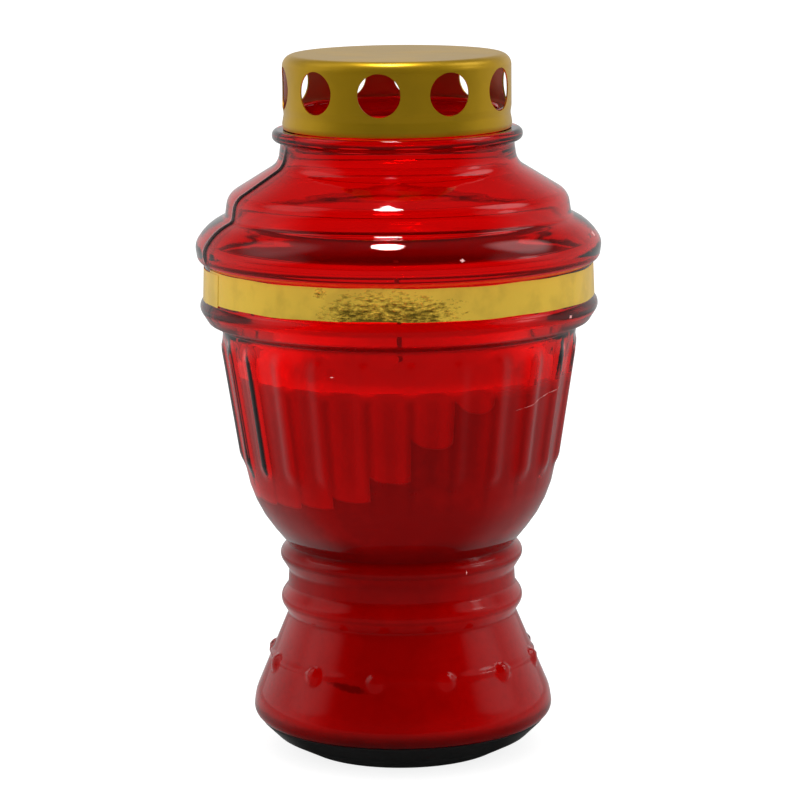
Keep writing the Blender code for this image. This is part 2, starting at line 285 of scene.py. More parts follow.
def dense(points, spacing):
    """The same outline with its long runs cut up, spacing(height) apart at most."""
    result = [points[0]]
    for before, after in zip(points, points[1:]):
        middle = (before + after) / 2.0
        parts = max(math.ceil((after - before).length / spacing(middle.y)), 1)
        for part in range(1, parts + 1):
            result.append(before.lerp(after, part / parts))
    return result


def bearing_of(point):
    return math.degrees(math.atan2(point.x, -point.y))


def off_centre(point, first, count):
    """How far round the lamp a point lies from the nearest of count places, first among them."""
    pitch = 360.0 / count
    degrees = (bearing_of(point) - first + pitch / 2.0) % pitch - pitch / 2.0
    return math.radians(degrees) * point.xy.length


def faces_out(vertex):
    return vertex.normal.xy.dot(vertex.co.xy) > 0.0


def rib_share(point, half_width):
    """How much of a rib's full height a point of the bowl gets, from 0 to 1."""
    height = point.z / MM
    across = off_centre(point, RIB_BEARING, RIB_COUNT)
    beyond = max((height - RIB_HEAD) / RIB_HEAD_FADE, (RIB_FOOT - height) / RIB_FOOT_FADE, 0.0)
    reach = min(math.hypot(across / half_width, beyond), 1.0)
    return math.cos(reach * math.pi / 2.0) ** 2


# Modelling steps


def add_primitive(name, add, location=ORIGIN, **settings):
    """A new primitive that is alone in the selection."""
    bpy.ops.object.select_all(action="DESELECT")
    add(location=location, **settings)
    return rename(bpy.context.object, name)


def add_grid(name, across, deep, size=2.0, location=ORIGIN):
    """A flat grid, from -1 to 1 each way if no size is given."""
    counts = {"x_subdivisions": across, "y_subdivisions": deep}
    return add_primitive(name, bpy.ops.mesh.primitive_grid_add, location, size=size, **counts)


def rename(piece, name):
    piece.name = name
    piece.data.name = name
    return piece


def joined(name, pieces):
    """Several objects made one."""
    bpy.ops.object.select_all(action="DESELECT")
    for piece in pieces:
        piece.select_set(True)
    bpy.context.view_layer.objects.active = pieces[0]
    bpy.ops.object.join()
    return rename(bpy.context.object, name)


def shade_smooth(degrees):
    bpy.ops.object.shade_smooth_by_angle(angle=math.radians(degrees))


def close_piece(smooth=40.0):
    """Merges seams and poles, turns the faces outwards and leaves edit mode."""
    bpy.ops.mesh.select_all(action="SELECT")
    bpy.ops.mesh.remove_doubles(threshold=0.002 * MM)
    bpy.ops.mesh.normals_make_consistent(inside=False)
    bpy.ops.object.mode_set(mode="OBJECT")
    shade_smooth(smooth)


def extrude(across, up):
    """Extrudes what is selected, by millimetres."""
    step = (across * MM, 0.0, up * MM)
    bpy.ops.mesh.extrude_region_move(TRANSFORM_OT_translate={"value": step})


def turned(name, points, segments, smooth=40.0):
    """Draws an outline by extruding a point along it and spins it round the lamp's axis."""
    piece = add_primitive(name, bpy.ops.mesh.primitive_plane_add, size=MM)
    bpy.ops.object.mode_set(mode="EDIT")
    bpy.ops.mesh.select_all(action="SELECT")
    bpy.ops.mesh.merge(type="CENTER")
    bpy.ops.transform.translate(value=(points[0].x * MM, 0.0, points[0].y * MM))
    for before, after in zip(points, points[1:]):
        extrude(*(after - before))
    bpy.ops.mesh.select_all(action="SELECT")
    bpy.ops.mesh.spin(
        steps=segments, angle=math.tau, use_auto_merge=True, center=ORIGIN, axis=(0.0, 0.0, 1.0)
    )
    close_piece(smooth)
    return piece


def apply_modifier(piece, modifier):
    bpy.context.view_layer.objects.active = piece
    bpy.ops.object.modifier_apply(modifier=modifier.name)


def raise_relief(piece, name, height, reach, weigh):
    """Lifts the surface along its normals, as high as weigh(vertex) says, from 0 to 1.

    Only vertices whose heights lie within the reach are weighed.
    """
    low, high = reach
    group = piece.vertex_groups.new(name=name)
    for vertex in piece.data.vertices:
        weight = weigh(vertex) if low < vertex.co.z / MM < high else 0.0
        if weight > 0.0:
            group.add([vertex.index], weight, "REPLACE")
    relief = piece.modifiers.new(name, "DISPLACE")
    relief.vertex_group = name
    relief.mid_level = 0.0
    relief.strength = height
    apply_modifier(piece, relief)
    piece.vertex_groups.remove(piece.vertex_groups[name])


def thicken(piece, thickness, offset):
    """Gives a sheet its thickness, outwards for an offset of 1 and inwards for -1."""
    wall = piece.modifiers.new("sheet", "SOLIDIFY")
    wall.thickness = thickness
    wall.offset = offset
    apply_modifier(piece, wall)


def coat(piece, material):
    piece.data.materials.clear()
    piece.data.materials.append(material)


def dress(piece, body, material, node=None):
    """Finishes a piece and lets it ride on a body, in place of its CAD node if it has one."""
    coat(piece, material)
    if node:
        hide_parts(node)
    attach(piece, body)


# Shader building


class Varying:
    """A value that varies over a surface, reckoned with like a number."""

    def __init__(self, tree, socket):
        self.tree = tree
        self.socket = socket

    def reckon(self, operation, *others):
        """Another value, by an operation of the Math node."""
        inputs = dict(enumerate((self, *others)))
        return outputs(self.tree, "ShaderNodeMath", inputs, operation=operation)["Value"]

    def __add__(self, other):
        return self.reckon("ADD", other)

    def __sub__(self, other):
        return self.reckon("SUBTRACT", other)

    def __mul__(self, other):
        return self.reckon("MULTIPLY", other)

    def __truediv__(self, other):
        return self.reckon("DIVIDE", other)

    def __abs__(self):
        return self.reckon("ABSOLUTE")

    def sine(self):
        """The sine of a number of degrees."""
        return self.reckon("RADIANS").reckon("SINE")

    def ramp(self, low, high, low_out=0.0, high_out=1.0):
        """A smooth change from one value to another between two levels of this one."""
        inputs = {
            "Value": self, "From Min": low, "From Max": high, "To Min": low_out, "To Max": high_out
        }
        smooth = {"interpolation_type": "SMOOTHSTEP"}
        return outputs(self.tree, "ShaderNodeMapRange", inputs, **smooth)["Result"]

    def mix(self, first, second):
        """A colour from the first at 0 to the second at 1."""
        node = add_node(self.tree, "ShaderNodeMix", data_type="RGBA")
        for index, value in ((0, self), (6, first), (7, second)):
            feed(node.inputs[index], value)
        return Varying(self.tree, node.outputs[2])


def most(first, *others):
    """The highest of several varying values."""
    for other in others:
        first = first.reckon("MAXIMUM", other)
    return first


def feed(socket, value):
    """Links a socket to a varying value, or sets it to a number, a colour or a vector."""
    if isinstance(value, Varying):
        value.tree.links.new(value.socket, socket)
    elif socket.type == "RGBA":
        socket.default_value = (*value, 1.0)
    else:
        socket.default_value = value


def fill(node, inputs):
    for key, value in inputs.items():
        feed(node.inputs[key], value)


def add_node(tree, kind, inputs=None, **settings):
    """A shader node with its settings and what goes into it."""
    node = tree.nodes.new(kind)
    for key, value in settings.items():
        setattr(node, key, value)
    fill(node, inputs or {})
    return node


def outputs(tree, kind, inputs=None, **settings):
    """What a new shader node puts out, by name."""
    node = add_node(tree, kind, inputs, **settings)
    return {socket.name: Varying(tree, socket) for socket in node.outputs if socket.enabled}


def vector_math(operation, *vectors):
    tree = vectors[0].tree
    found = outputs(tree, "ShaderNodeVectorMath", dict(enumerate(vectors)), operation=operation)
    return next(iter(found.values()))


def split(vector):
    """The X, Y and Z of a vector."""
    return outputs(vector.tree, "ShaderNodeSeparateXYZ", {0: vector}).values()


def object_place(tree):
    """Where a point lies on the lamp, in metres."""
    return outputs(tree, "ShaderNodeTexCoord")["Object"]


def noise(place, scale, detail, roughness):
    inputs = {"Vector": place, "Scale": scale, "Detail": detail, "Roughness": roughness}
    return outputs(place.tree, "ShaderNodeTexNoise", inputs)["Fac"]


def stretched(place, scale, rotation=ORIGIN):
    """A place on a lamp that is turned and stretched, for a pattern with a direction."""
    inputs = {"Vector": place, "Rotation": rotation, "Scale": scale}
    return outputs(place.tree, "ShaderNodeMapping", inputs)["Vector"]


def shared_group(name, inputs, make):
    """A node group that is built once: make(group, inputs) gives its outputs by name."""
    if name in bpy.data.node_groups:
        return bpy.data.node_groups[name]
    group = bpy.data.node_groups.new(name, "ShaderNodeTree")
    for label, default in inputs.items():
        socket = group.interface.new_socket(label, in_out="INPUT", socket_type="NodeSocketFloat")
        socket.default_value = default
    start = group.nodes.new("NodeGroupInput")
    made = make(group, {label: Varying(group, start.outputs[label]) for label in inputs})
    for label in made:
        group.interface.new_socket(label, in_out="OUTPUT", socket_type="NodeSocketFloat")
    fill(group.nodes.new("NodeGroupOutput"), made)
    return group


def make_place(group, inputs):
    """Bearing in degrees, radius and height in millimetres."""
    x, y, z = split(object_place(group))
    radius = (x.reckon("POWER", 2.0) + y.reckon("POWER", 2.0)).reckon("SQRT")
    bearing = x.reckon("ARCTAN2", y * -1.0).reckon("DEGREES")
    return {"Bearing": bearing, "Radius": radius * 1000.0, "Height": z * 1000.0}


def make_wear(group, inputs):
    """Clouding, fine specks and hair scratches from handling."""
    place = object_place(group)
    clouds = noise(place, inputs["Cloud Scale"], 3.0, 0.55)
    specks = noise(place, inputs["Speck Scale"], 1.0, 0.5)
    drawn = stretched(place, (1.0, 14.0, 1.6), (0.4, 0.9, 0.3))
    lines = noise(drawn, inputs["Scratch Scale"], 2.0, 0.6)
    scratches = abs(lines - 0.5).ramp(0.0, 0.012, 1.0, 0.0)
    return {"Clouds": clouds, "Specks": specks.ramp(0.62, 0.75), "Scratches": scratches}


def lamp_place(tree):
    """The bearing, the radius and the height of a point on the lamp."""
    group = shared_group("Place On Lamp", {}, make_place)
    return outputs(tree, "ShaderNodeGroup", node_tree=group).values()


def handling_wear(tree, clouds, specks=900.0, scratches=60.0):
    """Clouds, specks and scratches at their own scales."""
    scales = {"Cloud Scale": clouds, "Speck Scale": specks, "Scratch Scale": scratches}
    group = shared_group("Handling Wear", scales, make_wear)
    return outputs(tree, "ShaderNodeGroup", scales, node_tree=group).values()


def new_material(name):
    """A material with only a Principled shader and its output."""
    material = bpy.data.materials.new(name)
    material.use_nodes = True
    tree = material.node_tree
    return material, tree, tree.nodes["Principled BSDF"]


def bump(height, distance):
    """A normal that follows small heights."""
    inputs = {"Height": height, "Distance": distance}
    return outputs(height.tree, "ShaderNodeBump", inputs)["Normal"]


def toned(colour, share):
    """A colour made darker by a share under 1, or paler by one over it."""
    return tuple(channel * share for channel in colour)


def room_sides(direction, left, right):
    """How bright a gloss finds the room: dark in front, paler to the sides and the back."""
    level = vector_math("MULTIPLY", direction, (1.0, 1.0, 0.0))
    x, y, _ = split(vector_math("NORMALIZE", level))
    sides = y.ramp(-0.6, 0.25) * x.ramp(-0.7, 0.7, left, right) + 0.02
    return sides + y.ramp(0.25, 0.9, 0.0, 0.2)


# Materials


def red_glass(settings):
    """Clear glossy glass, red in its depth and slightly uneven, that lets lamp light through."""
    material, tree, shader = new_material("red_glass")
    clouds, specks, _ = handling_wear(tree, 22.0, 1400.0, 18.0)
    bearing, radius, height = lamp_place(tree)
    clean = clouds.ramp(0.35, 0.7).mix((0.92, 0.1, 0.11), (1.0, 0.13, 0.14))
    # Painted shade: a dark line along the mould seam above the bead, and dark lines in the grooves,
    # darkening the glass and dulling its gloss
    from_seam = abs(bearing - SEAM_BEARING).reckon("RADIANS") * radius
    painted_shade = [from_seam.ramp(0.4, 2.2, 0.95, 0.0) * height.ramp(144.0, 146.0)]
    for middle, half, least, depth in PAINTED_SHADE_LINES:
        outer = radius.ramp(least - 0.2, least + 0.2)
        painted_shade.append(abs(height - middle).ramp(half * 0.2, half, depth, 0.0) * outer)
    painted_shade = most(*painted_shade)
    fill(shader, {
        "Base Color": painted_shade.mix(clean, (0.02, 0.0, 0.0)),
        "Roughness": specks * 0.05 + settings.roughness + painted_shade * 0.2,
        "Transmission Weight": 1.0,
        "IOR": 1.5,
        "Normal": bump(clouds, settings.waviness),
    })
    shadow = outputs(tree, "ShaderNodeLightPath")["Is Shadow Ray"]
    clear = outputs(tree, "ShaderNodeBsdfTransparent", {"Color": (1.0, 0.36, 0.37)})["BSDF"]
    solid = Varying(tree, shader.outputs["BSDF"])
    surface = outputs(tree, "ShaderNodeMixShader", {0: shadow, 1: solid, 2: clear})["Shader"]
    depth = {"Color": settings.tint, "Density": settings.density}
    volume = outputs(tree, "ShaderNodeVolumeAbsorption", depth)["Volume"]
    fill(tree.nodes["Material Output"], {"Surface": surface, "Volume": volume})
    return material


def chipped_glass():
    """Broken glass, whitish and dull."""
    material, tree, shader = new_material("chipped_glass")
    clouds, _, _ = handling_wear(tree, 900.0)
    fill(shader, {
        "Base Color": clouds.mix((0.62, 0.2, 0.19), (0.9, 0.5, 0.48)),
        "Roughness": 0.6,
    })
    return material


def smear(bearing, height, grain):
    """A dark smear under the crease between two of the studs."""
    turn, half_width, middle, half_height = SMEAR
    across = (bearing - turn) / half_width
    tilt = across * 0.6 + (height - middle) / half_height
    reach = (grain - 0.5) * 3.0 + (across * across + tilt * tilt)
    return reach.ramp(0.1, 1.5, 0.6, 0.0)


def red_wax(settings):
    """Wax that has come away from the glass in tongues between the ribs and clings below them."""
    material, tree, shader = new_material("red_wax")
    bearing, _, height = lamp_place(tree)
    clouds, _, _ = handling_wear(tree, 60.0)
    fine = noise(object_place(tree), 260.0, 4.0, 0.65)
    side = bearing.sine()

    # The edge between the wax that clings and the wax that is loose
    turn = (bearing - RIB_BEARING) / RIB_PITCH
    across = turn.reckon("FRACT") * 2.0 - 1.0
    first_middle = RIB_BEARING + RIB_PITCH / 2.0 - settings.tongue_bearing
    swing = (turn.reckon("FLOOR") * RIB_PITCH + first_middle).sine()
    climb = (swing * CLING_STEEPNESS).reckon("TANH")
    scallop = abs(across).reckon("POWER", 3.0) * SCALLOP_ENDS - across
    edge = (climb * SCALLOP_CHANGE + 1.0) * scallop + (climb * CLING_SWING + CLING_HEIGHT)
    loose = (height - edge).ramp(0.5, 1.5)

    # Clinging wax: painted light on the right side and in the base, painted shade under the bowl,
    # and the dark smear
    wet = clouds.ramp(0.45, 0.65).mix(settings.wet, settings.wet_pale)
    # Painted light: the clinging wax turns paler towards the right side of the lamp
    right = side.ramp(0.26, 0.77, 0.0, 0.5) * height.ramp(80.0, 95.0)
    wet = right.mix(wet, settings.lit)
    # Painted light: the wax of the base is paler, most towards the sides, and mottled
    low = (height + side.ramp(0.17, 0.71, 0.0, -12.0)).ramp(46.0, 72.0, 1.0, 0.0)
    lit = low * abs(bearing + 6.0).ramp(10.0, 40.0, 0.38, 1.0) * fine.ramp(0.3, 0.6, 0.8, 1.0)
    wet = lit.mix(wet, settings.lit)
    # Painted shade: the wax darkens under the bowl, above the waist rings
    wet = abs(height - 71.5).ramp(2.0, 8.0, 0.65, 0.0).mix(wet, (0.2, 0.02, 0.02))
    wet = smear(bearing, height, fine).mix(wet, (0.06, 0.004, 0.004))

    # Loose wax, the shade between the ribs of both, and the upper face
    bright = clouds.ramp(0.3, 0.7).mix(settings.loose, settings.loose_pale)
    tone = loose.mix(wet, bright)
    aside = abs(across)
    shade = aside.ramp(0.66, 1.0, 0.0, 0.5) + aside.ramp(0.05, 0.5, 0.2, 0.0)
    tone = (shade * height.ramp(84.0, 104.0)).mix(tone, (0.25, 0.03, 0.03))
    level = settings.level / MM
    tone = height.ramp(level - 3.6, level).mix(tone, settings.top_colour)
    fill(shader, {"Base Color": tone, "Roughness": 0.55, "Normal": bump(clouds, 0.0001)})
    return material


def gold_lacquer(settings):
    """Satin gold lacquer on tinplate, with faint clouding and hair scratches, and an inner face of
    painted reflection and shade.
    """
    material, tree, shader = new_material("gold_lacquer")
    clouds, _, scratches = handling_wear(tree, 45.0, 1500.0, 40.0)
    _, radius, height = lamp_place(tree)
    tone = clouds.ramp(0.35, 0.65).mix(toned(settings.colour, 0.88), settings.colour)

    # The inner face lies nearer to the middle of the shoulder's rounding than the outer face
    shoulder_radius, shoulder_height, rounding = LID_OUTSIDE[LID_SHOULDER]
    out = (radius - (shoulder_radius - rounding)).reckon("MAXIMUM", 0.0)
    up = (height - (shoulder_height - rounding)).reckon("MAXIMUM", 0.0)
    reach = (out * out + up * up).reckon("SQRT")
    inside = reach.ramp(rounding - 0.46, rounding - 0.38, 1.0, 0.0)
    # Painted reflection and shade: the inner face is coloured dark red, as the red glass seen in
    # the shaded hollow of the lid
    fill(shader, {
        "Base Color": inside.mix(tone, settings.inside),
        "Metallic": 0.8,
        "Roughness": clouds * 0.08 + (settings.roughness - 0.04) + scratches * 0.06,
        "Coat Weight": 0.2,
        "Coat Roughness": 0.22,
        "Normal": bump(clouds, 0.0002),
    })
    return material


def gold_foil(settings):
    """Bright gold foil, pressed on by hand so that it is full of small creases."""
    material, tree, shader = new_material("gold_foil")
    place = object_place(tree)
    bearing, radius, height = lamp_place(tree)
    creases = noise(place, 1500.0, 3.0, 0.6)
    folds = noise(place, 120.0, 3.0, 0.5)
    streaks = noise(stretched(place, (1.0, 1.0, 2.6)), 420.0, 4.0, 0.65)
    front = folds.ramp(0.3, 0.6).mix(toned(settings.colour, 0.85), settings.colour)

    # The face against the glass, which shows through it from the other side of the lamp, painted
    # dark as shade and paler towards its top as painted light
    slope = LAND_FLARE / (LAND_TOP - LAND_BOTTOM)
    land = LAND_RADIUS + FOIL_GAP + LAND_TOP * slope
    behind = (radius + (height * slope - land)).ramp(0.02, 0.06, 1.0, 0.0)
    painted_light_and_shade_behind = height.ramp(155.0, 163.0).mix(settings.behind, toned(settings.behind, 2.8))

    # Bare, crumpled metal where the foil is worn
    wear = None
    for turn, half_width, middle, half_height, least in FOIL_WEAR:
        round_it = (bearing - turn) / half_width
        up_it = (height - middle) / half_height
        reach = up_it * up_it + least + round_it * round_it
        wear = wear.reckon("MINIMUM", reach) if wear else reach
    ragged = (folds - 0.5) * 1.5 + (streaks - 0.5) * 4.5
    bare = (wear + ragged).ramp(-0.6, 1.4, 1.0, 0.0)
    crumple = (creases * 0.3 + folds) * (bare * 2.5 + 1.0)
    fill(shader, {
        "Base Color": behind.mix(front, painted_light_and_shade_behind),
        "Metallic": bare.ramp(0.0, 1.0, 0.46, 0.96),
        "Roughness": bare * -0.16 + settings.roughness,
        "Normal": bump(crumple, settings.crease),
    })
    return material


def black_plastic():
    """Moulded black plastic with a soft shine and a fine grain."""
    material, tree, shader = new_material("black_plastic")
    clouds, specks, _ = handling_wear(tree, 80.0, 2500.0)
    fill(shader, {
        "Base Color": specks.mix((0.006, 0.006, 0.006), (0.018, 0.019, 0.018)),
        "Roughness": clouds.ramp(0.2, 0.8, 0.26, 0.42),
        "Normal": bump(specks, 0.00004),
    })
    return material


def cotton():
    """Undyed cotton yarn, darkened by soot and wax."""
    material, tree, shader = new_material("cotton")
    clouds, _, _ = handling_wear(tree, 500.0, 3000.0)
    tone = clouds.mix((0.3, 0.24, 0.19), (0.5, 0.44, 0.37))
    fill(shader, {"Base Color": tone, "Roughness": 0.95, "Normal": bump(clouds, 0.0003)})
    return material


def tinplate():
    """Thin tinplate, dull where wax has clung to it."""
    material, tree, shader = new_material("tinplate")
    clouds, _, _ = handling_wear(tree, 120.0)
    tone = clouds.mix((0.5, 0.5, 0.5), (0.68, 0.68, 0.67))
    dull = clouds.ramp(0.3, 0.7, 0.25, 0.5)
    fill(shader, {"Base Color": tone, "Metallic": 1.0, "Roughness": dull})
    return material


# Settings


def a_length(name, description, millimetres):
    """A length, given here in millimetres."""
    return bpy.props.FloatProperty(
        name=name, description=description, default=millimetres * MM, unit="LENGTH"
    )


def a_colour(name, description, default):
    """A colour in linear light."""
    return bpy.props.FloatVectorProperty(
        name=name, description=description, default=default,
        subtype="COLOR", size=3, min=0.0, max=1.0
    )


def a_share(name, description, default):
    """A number from 0 to 1."""
    return bpy.props.FloatProperty(
        name=name, description=description, default=default, subtype="FACTOR", min=0.0, max=1.0
    )


class GlassSettings(bpy.types.PropertyGroup):
    """Sizes and finish of the glass vessel."""

    segments: bpy.props.IntProperty(
        name="Segments", description="Facets round the glass", default=288, min=48, max=480
    )
    rib_height: a_length("Rib Height", "How far a rib stands out", 1.3)
    rib_width: a_length("Rib Width", "Width of a rib at its foot", 11.2)
    stud_height: a_length("Stud Height", "How far a stud stands out", 1.4)
    stud_radius: a_length("Stud Radius", "Radius of a stud's foot", 3.0)
    waviness: a_length("Waviness", "Unevenness of the surface", 0.2)
    tint: a_colour("Tint", "Colour that the depth of the glass lets through", (0.975, 0.0, 0.03))
    density: bpy.props.FloatProperty(
        name="Density", description="How strongly a metre of the glass takes up light",
        default=600.0, min=0.0
    )
    roughness: a_share("Roughness", "Softness of the gloss", 0.03)


class LidSettings(bpy.types.PropertyGroup):
    """Sizes and finish of the lid."""

    segments: bpy.props.IntProperty(
        name="Segments", description="Facets round the lid", default=240, min=48, max=480
    )
    sheet: a_length("Sheet", "Thickness of the metal", 0.5)
    vent_radius: a_length("Vent Radius", "Radius of a vent", 7.0)
    colour: a_colour("Colour", "Colour of the lacquer", (0.72, 0.425, 0.009))
    # Painted reflection and shade: dark red for the red glass mirrored in the lid's shaded inside
    inside: a_colour("Inside", "Colour of the lid's inner face", (0.6, 0.12, 0.04))
    roughness: a_share("Roughness", "Softness of the shine", 0.34)


class BandSettings(bpy.types.PropertyGroup):
    """Sizes and finish of the foil band."""

    top: a_length("Top", "Height of the upper edge where the ribbon starts", 164.5)
    width: a_length("Width", "Width of the ribbon", 10.6)
    sheet: a_length("Sheet", "Thickness of the ribbon", 0.08)
    crease: a_length("Crease", "Depth of the creases", 0.15)
    colour: a_colour("Colour", "Colour of the foil", (0.83, 0.55, 0.06))
    # Painted shade and light: the ribbon's back is painted dark, and paler towards its top
    behind: a_colour("Behind", "Colour of the ribbon's face against the glass", (0.16, 0.08, 0.04))
    roughness: a_share("Roughness", "Softness of the shine", 0.3)


class WaxSettings(bpy.types.PropertyGroup):
    """Level and colours of the wax."""

    level: a_length("Level", "Height of the wax", 128.8)
    shrink: a_length("Shrink", "How far the loose wax has drawn back", 0.35)
    tongue_bearing: bpy.props.FloatProperty(
        name="Tongue Bearing",
        description="Where the clinging wax is half way up, in degrees from the front", default=10.0
    )
    top_colour: a_colour("Top", "Upper face of the wax", (0.95, 0.6, 0.54))
    loose: a_colour("Loose", "Wax that has come away from the glass", (0.95, 0.45, 0.41))
    loose_pale: a_colour("Loose Pale", "Paler parts of the loose wax", (1.0, 0.55, 0.49))
    wet: a_colour("Wet", "Wax that clings to the glass", (0.56, 0.07, 0.07))
    wet_pale: a_colour("Wet Pale", "Paler parts of the clinging wax", (0.69, 0.09, 0.09))
    # Painted light: a paler wax colour that stands in for light getting behind the wax
    lit: a_colour("Lit", "Wax of the base, where light gets behind it", (1.0, 0.16, 0.15))


class StageSettings(bpy.types.PropertyGroup):
    """Camera and light."""

    lens: bpy.props.FloatProperty(
        name="Lens", description="Focal length of the camera in millimetres", default=162.0
    )
    distance: bpy.props.FloatProperty(
        name="Distance", description="Camera to the middle of the lamp", default=1.2, unit="LENGTH"
    )
    pitch: bpy.props.FloatProperty(
        name="Pitch", description="How far the camera looks down",
        subtype="ANGLE", unit="ROTATION", default=math.radians(10.2)
    )
    roll: bpy.props.FloatProperty(
        name="Roll", description="How far the camera is tipped to its side",
        subtype="ANGLE", unit="ROTATION", default=math.radians(-0.58)
    )
    key: bpy.props.FloatProperty(
        name="Key", description="Power of the light overhead",
        subtype="POWER", unit="POWER", default=6.0
    )
    room: bpy.props.FloatProperty(
        name="Room", description="Level of the light from all round", default=1.17
    )


# Operators


class LAMP_OT_glass(bpy.types.Operator):
    """Turn the glass vessel and raise its seam, ribs, studs and crease"""

    bl_idname = "lamp.glass"
    bl_label = "Glass Vessel"

    def execute(self, context):
        settings = context.scene.lamp_glass
        inside = rounded(GLASS_INSIDE, INSIDE_TURN)
        inside = dense(inside, lambda height: max(self.spacing(height), INSIDE_ROWS))
        inside.reverse()
        outside = dense(rounded((GLASS_INSIDE[0], *GLASS_OUTSIDE))[1:], self.spacing)
        piece = turned("glass", inside + outside, settings.segments, smooth=55.0)
        half_width = settings.rib_width / 2.0

        def rib(vertex):
            return rib_share(vertex.co, half_width) if faces_out(vertex) else 0.0

        def hollow(vertex):
            return 0.0 if faces_out(vertex) else rib_share(vertex.co, half_width)

        def stud(vertex):
            if not faces_out(vertex):
                return 0.0
            across = off_centre(vertex.co, STUD_BEARING, STUD_COUNT)
            up = (vertex.co.z - STUD_HEIGHT * MM) * STUD_SQUAT
            reach = math.hypot(across, up) / settings.stud_radius
            return math.sqrt(max(1.0 - reach * reach, 0.0))

        def crease(vertex):
            up = vertex.co.z / MM - CREASE_HEIGHT
            return math.exp(-((up / CREASE_WIDTH) ** 2)) if faces_out(vertex) else 0.0

        def seam(vertex):
            if not faces_out(vertex):
                return 0.0
            across = off_centre(vertex.co, SEAM_BEARING, 1) / MM
            height = vertex.co.z / MM
            low, high = SEAM_REACH
            fade = min((high - height) / SEAM_FADE, (height - low) / SEAM_FADE, 1.0)
            return math.exp(-((across / SEAM_WIDTH) ** 2)) * fade

        hollow_depth = settings.rib_height * HOLLOW_SHARE
        raise_relief(piece, "seam", SEAM_RISE * MM, SEAM_REACH, seam)
        raise_relief(piece, "crease", CREASE_RISE * MM, CREASE_REACH, crease)
        raise_relief(piece, "ribs", settings.rib_height, RIB_REACH, rib)
        raise_relief(piece, "hollows", -hollow_depth, RIB_REACH, hollow)
        raise_relief(piece, "studs", settings.stud_height, STUD_REACH, stud)
        dress(piece, "lamp", red_glass(settings), "glass_vessel")
        return {"FINISHED"}

    @staticmethod
    def spacing(height):
        for low, high, gap in GLASS_ROWS:
            if low < height < high:
                return gap
        return HEEL_ROWS


class LAMP_OT_marks(bpy.types.Operator):
    """Lay the chips and the scratch of long use on the glass"""

    bl_idname = "lamp.marks"
    bl_label = "Chips and Scratch"

    def execute(self, context):
        glass = bpy.data.objects["glass"]
        marks = [self.chip(glass, index, *chip) for index, chip in enumerate(CHIPS)]
        marks.append(self.scratch(glass))
        piece = joined("marks", marks)
        thicken(piece, MARK_SHEET * MM, -1.0)
        dress(piece, "lamp", chipped_glass())
        return {"FINISHED"}

    @staticmethod
    def on_glass(glass, bearing, height):
        """The point of the glass's outside at a bearing and a height, a hair above it."""
        turn = math.radians(bearing)
        out = Vector((math.sin(turn), -math.cos(turn), 0.0))
        start = out * CLEAR_OF_LAMP * MM + Vector((0.0, 0.0, height * MM))
        hit, place, normal, _ = glass.ray_cast(start, -out)
        if not hit:
            raise RuntimeError(f"no glass at bearing {bearing} and height {height}")
        return place + normal * MARK_LIFT * MM

    def chip(self, glass, index, bearing, height, wide, high):
        """A ragged fleck on the glass."""
        chip = add_primitive(
            "chip", bpy.ops.mesh.primitive_circle_add, vertices=11, radius=1.0, fill_type="TRIFAN"
        )
        for number, vertex in enumerate(chip.data.vertices):
            ragged = 0.8 + 0.35 * math.sin(2.3 * number + 1.7 * index)
            across = vertex.co.x * ragged * wide
            up = vertex.co.y * ragged * high
            vertex.co = self.on_glass(glass, bearing + across, height + up)
        return chip

    def scratch(self, glass):
        """A hair line that bows and thins along its way."""
        strip = add_grid("scratch", 48, 1)
        start, low, end, high = SCRATCH
        for vertex in strip.data.vertices:
            along = (vertex.co.x + 1.0) / 2.0
            bow = 3.0 * along * (1.0 - along) * (along - 0.3)
            taper = math.sin(math.pi * min(max(along, 0.02), 0.98))
            thin = SCRATCH_HALF_WIDTH * taper * (0.6 + 0.4 * math.sin(37.0 * along))
            height = low + (high - low) * along + bow + vertex.co.y * thin
            vertex.co = self.on_glass(glass, start + (end - start) * along, height)
        return strip


class LAMP_OT_foot(bpy.types.Operator):
    """Turn the dark foot dish"""

    bl_idname = "lamp.foot"
    bl_label = "Foot"

    def execute(self, context):
        piece = turned("foot", rounded(FOOT), FOOT_SEGMENTS)
        dress(piece, "lamp", black_plastic(), "base_foot")
        return {"FINISHED"}


